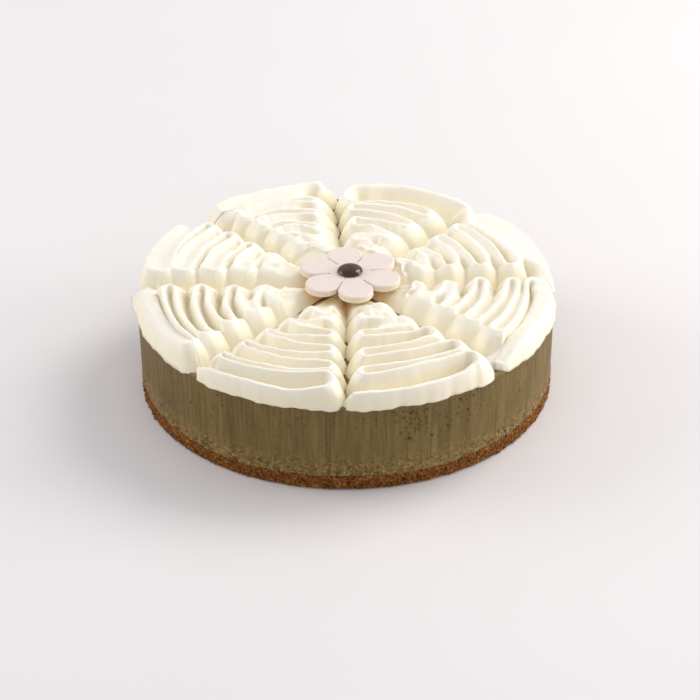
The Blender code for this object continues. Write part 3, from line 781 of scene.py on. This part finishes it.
def cream_grid(ribbon):
    """Rows that follow the passes, columns across them.

    Gives where the points lie, and where they would lie if every crease were in the middle.
    """
    shares = np.linspace(0, 1, PASS_COLUMNS + 1)
    lips = [None] + [np.array([ribbon.lip(number, share) for share in shares])
                     for number in range(1, ribbon.passes + 1)]
    tangent = math.tan(ribbon.half)
    over = SEAM_OVERLAP / math.cos(ribbon.half)
    rim = ribbon.first.lip * MM
    sides = np.linspace(0, 1, SIDE_COLUMNS + 1)[1:]

    def row(line, follow):
        """Add the side columns to a row's middle; follow is its share of the rim's arc."""
        parts = [line]
        for end, side in ((0, -1), (-1, 1)):
            t_end, r_end = line[end]
            widest = r_end * tangent + over
            t = t_end + side * (widest - abs(t_end)) * sides
            r = np.full(len(t), r_end)
            arc = np.sqrt(np.maximum(rim ** 2 - t ** 2, 0)) - math.sqrt(rim ** 2 - t_end ** 2)
            corner = rim_corners(ribbon, np.arcsin(np.r_[t_end, t] / RIM_REACH))
            r += follow * (arc - corner[1:] + corner[0])
            beside = np.stack([t, r], axis=1)
            parts = [beside[::-1], *parts] if side < 0 else [*parts, beside]
        return np.concatenate(parts)

    first = row(lips[1], 1.0)
    angle = np.arcsin(first[:, 0] / RIM_REACH)
    edge = (rim_radius(ribbon, angle) + RIM_DROP) * np.stack([np.sin(angle), np.cos(angle)])
    edge = edge.T
    at_rim = [edge + (first - edge) * step / RIM_ROWS for step in range(RIM_ROWS)]
    last = row(lips[-1], 0.0)
    inner = last * (INNER_RADIUS / np.hypot(*last.T))[:, None]
    at_middle = [last + (inner - last) * step / INNER_ROWS for step in range(INNER_ROWS + 1)]
    plans = []
    for leaning in (True, False):
        between = []
        for number in range(1, ribbon.passes):
            for share in ACROSS_VALLEY:
                place = crease_share(ribbon.lie, number, share) if leaning else share
                line = lips[number] * (1 - place) + lips[number + 1] * place
                between.append(row(line, (1 - place) if number == 1 else 0.0))
        plans.append(np.array(at_rim + between + at_middle))
    return plans


def eased(values):
    """Shares from 0 to 1 with a soft start and end."""
    held = np.clip(values, 0, 1)
    return held * held * (3 - 2 * held)


def cream_heights(ribbon, plan, middle_plan):
    """Each point's height, least height, distance to the rim and nearest lip's height."""
    line = ribbon.path()
    tree = kdtree.KDTree(len(line))
    for index, (t, r, _, _) in enumerate(line):
        tree.insert((t, r, 0), index)
    tree.balance()
    found = [tree.find((t, r, 0)) for t, r in middle_plan.reshape(-1, 2)]
    near = [item[1] for item in found]
    lip, half = line[near, 2], line[near, 3]
    outer = np.maximum(np.array([item[2] for item in found]) - half, 0)
    flat = plan.reshape(-1, 2)
    t, r = flat.T
    radius = np.hypot(t, r)
    angle = np.arctan2(t, r)
    wave = rim_wave(ribbon, angle)
    low = r * math.sin(ribbon.half) + t * math.cos(ribbon.half)
    high = r * math.sin(ribbon.half) - t * math.cos(ribbon.half)
    to_rim = rim_radius(ribbon, angle) - radius
    wedge = ribbon.wedge
    past = past_ends(plan)
    open_share = eased(np.maximum(*past).ravel() / OPENING_LENGTH)
    wall = np.where(t < 0, wedge.inset_start, wedge.inset_end) * MM + WALL_OVERLAP - half
    wall += INNER_OVERLAP * np.clip((INNER_WALLS - radius) / INNER_WALLS_LENGTH, 0, 1)
    reach = VALLEY_REACH + (wall - VALLEY_REACH) * open_share
    side_share = (outer / reach) ** (1.1 + 0.5 * open_share)
    rim_share = outer / (outer + np.maximum(to_rim, 1e-7))
    rim_share = np.where(to_rim > 0, rim_share, 1.0) ** 2
    share = (np.minimum(side_share, 4) ** 3 + rim_share ** 3) ** (1 / 3)
    height = lip * (1 - share) + np.minimum(to_rim, 0) * RIM_SLOPE - BEAD * eased(outer / BEAD)
    inside = (1 - open_share) * eased((to_rim - FLOOR_START) / FLOOR_FADE)
    height = np.maximum(height, FLOOR_HEIGHT - (FLOOR_HEIGHT + FLOOR_DROP) * (1 - inside))
    height = fill_valleys(ribbon, plan, past, height)
    tail = np.clip((line[-1, 1] + TAIL_START - radius) / TAIL_LENGTH, 0, 1)
    tail *= TAIL_HEIGHT * np.clip(0.5 + 0.5 * np.minimum(low, high) / TAIL_SIDE, 0, 1)
    height = np.where(tail > 0, np.maximum(height, tail), height)
    limit = FLOWER_BOTTOM - CAKE_HEIGHT - FLOWER_CLEARANCE
    cap = limit + np.maximum(from_flower(ribbon, flat) - UNDER_FLOWER, 0) * UNDER_SLOPE
    height = np.minimum(height, cap)
    foot = -FOOT_DEPTH - np.clip(1 - to_rim / HANG_LENGTH, 0, 1) * HANG * (0.55 + 0.45 * wave)
    return np.maximum(height, foot), foot, to_rim, lip


def corner_cut(to_seam, rounding):
    """How far a wedge's rim is drawn in near a seam, for a rounded corner."""
    round_off = rounding * MM
    inside = np.clip(round_off - to_seam - RIM_OVERLAP, 0, round_off)
    return round_off - np.sqrt(round_off ** 2 - inside ** 2)


def rim_corners(ribbon, angle):
    """How far a wedge's rim is drawn in at its two corners, in the directions given."""
    low = RIM_REACH * np.sin(ribbon.half + angle)
    high = RIM_REACH * np.sin(ribbon.half - angle)
    return corner_cut(low, ribbon.rim.round_start) + corner_cut(high, ribbon.rim.round_end)


def rim_wave(ribbon, angle):
    """The uneven edge of a wedge's cream, from -1 to 1."""
    phases = np.random.default_rng(ribbon.seed).uniform(0, math.tau, 3)
    wave = 0.5 * np.sin(22 * angle + phases[0]) + 0.3 * np.sin(51 * angle + phases[1])
    return wave + 0.2 * np.sin(97 * angle + phases[2])


def rim_radius(ribbon, angle):
    """How far a wedge's cream reaches in the directions given."""
    from_start = RIM_REACH * np.sin(ribbon.half + angle)
    flare = ribbon.rim.flare * MM * np.exp(-(from_start / FLARE_LENGTH) ** 2)
    return RIM_REACH + RIM_WAVE * rim_wave(ribbon, angle) + flare - rim_corners(ribbon, angle)


def past_ends(plan):
    """How far each point lies past its row's middle part, at the start and at the end."""
    first, last = SIDE_COLUMNS, SIDE_COLUMNS + PASS_COLUMNS
    t = plan[:, :, 0]
    return t[:, first:first + 1] - t, t - t[:, last:last + 1]


def fill_valleys(ribbon, plan, past, height):
    """Raise the valleys that the ribbon's passes fill as they lie against each other."""
    rows, columns = plan.shape[:2]
    height = height.reshape(rows, columns).copy()
    lie = ribbon.lie
    count = len(ACROSS_VALLEY)
    for number in range(1, ribbon.passes):
        closes_at_end = number % 2 == 1
        fill = lie.end_fill if closes_at_end else lie.start_fill
        fill = lie.first_fill if number == 1 else fill
        if number >= ribbon.passes - INNER_FILLED:
            fill = max(fill, INNER_FILL)
        if not fill:
            continue
        closed, opened = (past[1], past[0]) if closes_at_end else (past[0], past[1])
        loop = ribbon.turns[number][2]
        middle = plan[RIM_ROWS + (number - 1) * count, SIDE_COLUMNS:SIDE_COLUMNS + PASS_COLUMNS]
        fade = min(FILL_FADE, 0.5 * abs(middle[-1, 0] - middle[0, 0]))
        top = RIM_ROWS + (number - 1) * count
        first, second = height[top], height[top + count]
        for step, share in enumerate(ACROSS_VALLEY):
            row = top + step
            groove = FILLED_GROOVE * (1 - abs(2 * share - 1))
            level = first * (1 - share) + second * share - groove
            inside = loop * math.sqrt(max(0.0, 1 - (2 * share - 1) ** 2))
            weight = np.clip((inside - closed[row]) / FILL_EDGE, 0, 1)
            weight = weight * eased(-opened[row] / fade) * fill
            height[row] += weight * np.maximum(level - height[row], 0)
    return height.ravel()


def from_flower(ribbon, flat):
    """Distance of plan points from the flower's middle."""
    x, y = ribbon.world(*flat.T)
    return np.hypot(x - FLOWER_CENTRE_X, y)


def blurred(values):
    """A grid of values, each mixed with its neighbours."""
    padded = np.pad(values, 1, mode="edge")
    rows = 0.25 * padded[:-2, 1:-1] + 0.5 * padded[1:-1, 1:-1] + 0.25 * padded[2:, 1:-1]
    padded = np.pad(rows, 1, mode="edge")
    return 0.25 * padded[1:-1, :-2] + 0.5 * padded[1:-1, 1:-1] + 0.25 * padded[1:-1, 2:]


def softened(ribbon, height):
    """The heights a little blurred, and the short inner passes more."""
    height = blurred(height)
    soft = height
    for _ in range(INNER_BLURS):
        soft = blurred(soft)
    count = len(ACROSS_VALLEY)
    first = RIM_ROWS + (ribbon.passes - 1 - INNER_FILLED) * count
    share = eased((np.arange(len(height)) - first) / count + 0.5)[:, None]
    return height + share * (soft - height)


def build_cream(index, material):
    """One wedge of piped cream."""
    ribbon = Ribbon(WEDGES[index], FIRSTS[index], LIES[index], RIMS[index], CREAM_SEED + index)
    plan, middle_plan = cream_grid(ribbon)
    rows, columns = plan.shape[:2]
    height, foot, to_rim, lip = cream_heights(ribbon, plan, middle_plan)
    buried = height <= foot + 0.02 * MM
    height = softened(ribbon, height.reshape(rows, columns)).ravel()
    height = np.where(buried, foot, np.maximum(height, foot))
    flat = plan.reshape(-1, 2)
    puff = PUFF * np.clip(1 - to_rim / PUFF_LENGTH, 0, 1)
    level = np.clip(height / PUFF_HEIGHT, 0, 1)
    moved = 1 + puff * np.sin(math.pi * np.clip(level + 0.15, 0, 1)) / np.hypot(*flat.T)
    x, y = ribbon.world(flat[:, 0] * moved, flat[:, 1] * moved)
    points = np.stack([x, y, CAKE_HEIGHT + height], axis=1)
    for place in range(len(points)):
        where = Vector(points[place])
        soft = noise.noise(where * 120) * 0.22 + noise.noise(where * 420) * 0.06
        points[place, 2] += soft * MM * min(1.0, max(0.0, height[place] / (3 * MM)))
    faces = grid_faces(rows, columns, False)
    used, corners = np.unique(faces[~buried[faces].all(axis=1)], return_inverse=True)
    mesh = closed_mesh(f"piped_cream_{index + 1}", points[used], corners.reshape(-1, 4))
    # How far each point lies below its nearest lip, which sets the painted shade between the
    # passes.
    depth = np.clip((lip - height) / CREASE_DEPTH, 0, 1)
    # Near the flower and low under it: the painted shade beneath the flower.
    painted_flower_shade = np.clip((SHADE_REACH - from_flower(ribbon, flat)) / SHADE_FADE, 0, 1)
    painted_flower_shade *= np.clip((FLOWER_BOTTOM - CAKE_HEIGHT - height) / SHADE_HEIGHT, 0, 1)
    keep_values(mesh, "depth", depth[used])
    keep_values(mesh, "painted_flower_shade", painted_flower_shade[used])
    add_piece(f"piped_cream_{index + 1}", mesh, material, "cream", f"cream_wedge_{index + 1}")


def flower_outline(inset):
    """Six round petals that meet along narrow grooves, drawn in by an inset."""
    points = []
    petal_centre = FLOWER_RADIUS - PETAL_ROUND
    petal_round = PETAL_ROUND - inset
    half_sector = math.pi / PETALS
    to_groove = petal_centre * math.sin(half_sector) - GROOVE_HALF - inset
    swing = half_sector + math.asin(to_groove / petal_round)
    groove_start = GROOVE_START + 2 * inset
    for petal in range(PETALS):
        middle = math.radians(PETAL_TURN) + petal * math.tau / PETALS
        for step in range(PETAL_POINTS):
            turn = swing * (2 * step / (PETAL_POINTS - 1) - 1)
            x = petal_centre + petal_round * math.cos(turn)
            y = petal_round * math.sin(turn)
            points.append((x * math.cos(middle) - y * math.sin(middle),
                           x * math.sin(middle) + y * math.cos(middle)))
        groove = middle + half_sector
        points.append((groove_start * math.cos(groove), groove_start * math.sin(groove)))
    return points


def build_flower(material):
    """Flat moulded flower with soft edges and faint creases between its petals."""
    sections = []
    for step in range(6):
        turn = math.radians(18 * step)
        sections.append((FLOWER_EDGE * (1 - math.sin(turn)), FLOWER_EDGE * (1 - math.cos(turn))))
    sections += [(inset * MM, height * MM) for inset, height in SIDE_LINE]
    for step in range(1, 7):
        turn = math.radians(15 * step)
        sections.append((FLOWER_EDGE * (1 - math.cos(turn)),
                         FLOWER_THICKNESS - FLOWER_EDGE + FLOWER_EDGE * math.sin(turn)))
    rings = [[(x, y, height) for x, y in flower_outline(inset)] for inset, height in sections]
    count = len(rings[0])
    inner = flower_outline(FLOWER_EDGE)
    for share in FLOWER_RINGS:
        ring = []
        for x, y in inner:
            x, y = x * share, y * share
            angle = math.atan2(y, x) - math.radians(PETAL_TURN)
            off = abs((angle / (math.tau / PETALS)) % 1 - 0.5)
            away = off * math.hypot(x, y) * math.tau / PETALS
            crease = max(0.0, 1 - away / PETAL_CREASE_HALF)
            ring.append((x, y, FLOWER_THICKNESS - PETAL_CREASE * crease))
        rings.append(ring)
    points = [point for ring in rings for point in ring]
    faces = grid_faces(len(rings), count, True).tolist()
    for first, height in ((0, 0.0), ((len(rings) - 1) * count, FLOWER_THICKNESS)):
        middle = len(points)
        points.append((0, 0, height))
        for step in range(count):
            faces.append([middle, first + step, first + (step + 1) % count])
    points = [(x + FLOWER_CENTRE_X, y, z + FLOWER_BOTTOM) for x, y, z in points]
    mesh = closed_mesh("flower_petals", points, faces)
    add_piece("flower_petals", mesh, material, "petal", "flower")


def build_button(material):
    """Glossy dark button, a low dome."""
    profile = [(BUTTON_SEAT * BUTTON_RADIUS, 0.0)]
    for step in range(BUTTON_STEPS + 1):
        turn = math.radians(BUTTON_UNDER + (90 - BUTTON_UNDER) * step / BUTTON_STEPS)
        if turn > 0:
            radius = BUTTON_RADIUS * math.cos(turn)
            height = BUTTON_HEIGHT * (BUTTON_EDGE + (1 - BUTTON_EDGE) * math.sin(turn))
        else:
            radius = BUTTON_RADIUS * (BUTTON_SEAT + (1 - BUTTON_SEAT) * math.cos(turn * 3))
            height = BUTTON_EDGE * BUTTON_HEIGHT * (1 + turn / math.radians(30))
        profile.append((max(radius, 0.02 * BUTTON_RADIUS), height))
    base = FLOWER_BOTTOM + FLOWER_THICKNESS + BUTTON_LIFT

    def place(angle, radius, height):
        """Point of the dome, on the flower's middle."""
        return (FLOWER_CENTRE_X + radius * math.cos(angle), radius * math.sin(angle),
                base + height)

    points, faces = turned_grid(profile, BUTTON_AROUND, place)
    for index in (-2, -1):
        x, y, z = points[index]
        points[index] = (FLOWER_CENTRE_X, 0, base + z)
    mesh = closed_mesh("button_dome", points, faces)
    add_piece("button_dome", mesh, material, "button", "flower_button")


def add_floor():
    """Plain pale floor."""
    bpy.ops.mesh.primitive_plane_add(size=FLOOR_SIZE, location=(0, 0, FLOOR_LEVEL))
    floor = bpy.context.object
    floor.name = "floor"
    made = Nodes("pale_floor")
    made.set(Roughness=0.6)
    grain = made.noise(3, 3)
    made.to_shader(made.blend(grain, (0.74, 0.71, 0.70), (0.80, 0.77, 0.76)), "Base Color")
    floor.data.materials.append(made.material)


def add_area(name, place, size, power, colour):
    """A soft round area light that looks at the cake."""
    light = bpy.data.lights.new(name, "AREA")
    light.shape = "DISK"
    light.size = size
    light.energy = power
    light.color = colour
    lamp = bpy.data.objects.new(name, light)
    bpy.context.scene.collection.objects.link(lamp)
    lamp.location = place
    lamp.rotation_mode = "QUATERNION"
    lamp.rotation_quaternion = (Vector(LIGHTS_AIM) - Vector(place)).to_track_quat("-Z", "Y")


def add_lights():
    """Soft key from the upper right behind the cake, fill from both sides and the front."""
    world = bpy.data.worlds.new("studio")
    bpy.context.scene.world = world
    world.use_nodes = True
    backdrop = world.node_tree.nodes["Background"]
    backdrop.inputs["Color"].default_value = WORLD_COLOUR
    backdrop.inputs["Strength"].default_value = WORLD_STRENGTH
    for light in LIGHTS:
        add_area(*light)


def add_camera():
    """Camera at the photograph's angle."""
    elevation, roll = math.radians(CAMERA_ELEVATION), math.radians(CAMERA_ROLL)
    forward = Vector((0, math.cos(elevation), -math.sin(elevation)))
    right = Vector((1, 0, 0))
    up = right.cross(forward)
    turned = math.cos(roll) * right + math.sin(roll) * up
    up = math.cos(roll) * up - math.sin(roll) * right
    data = bpy.data.cameras.new("camera")
    data.sensor_width = SENSOR_WIDTH
    data.lens = CAMERA_LENS
    camera = bpy.data.objects.new("camera", data)
    bpy.context.scene.collection.objects.link(camera)
    turn = Matrix((turned, up, -forward)).transposed()
    camera.matrix_world = Matrix.Translation(Vector(CAMERA_PLACE) * MM) @ turn.to_4x4()
    bpy.context.scene.camera = camera


def main():
    # noise_vector takes its offsets from this seed, or else from the clock
    noise.seed_set(CREAM_SEED)
    cream = cream_material()
    build_crumb_base(crumb_material())
    build_filling(filling_material())
    for index in range(len(WEDGES)):
        build_cream(index, cream)
    build_flower(petal_material())
    build_button(button_material())
    add_floor()
    add_lights()
    add_camera()
    view = bpy.context.scene.view_settings
    view.view_transform = "Standard"
    view.look = "None"
    view.exposure = 0.0


main()
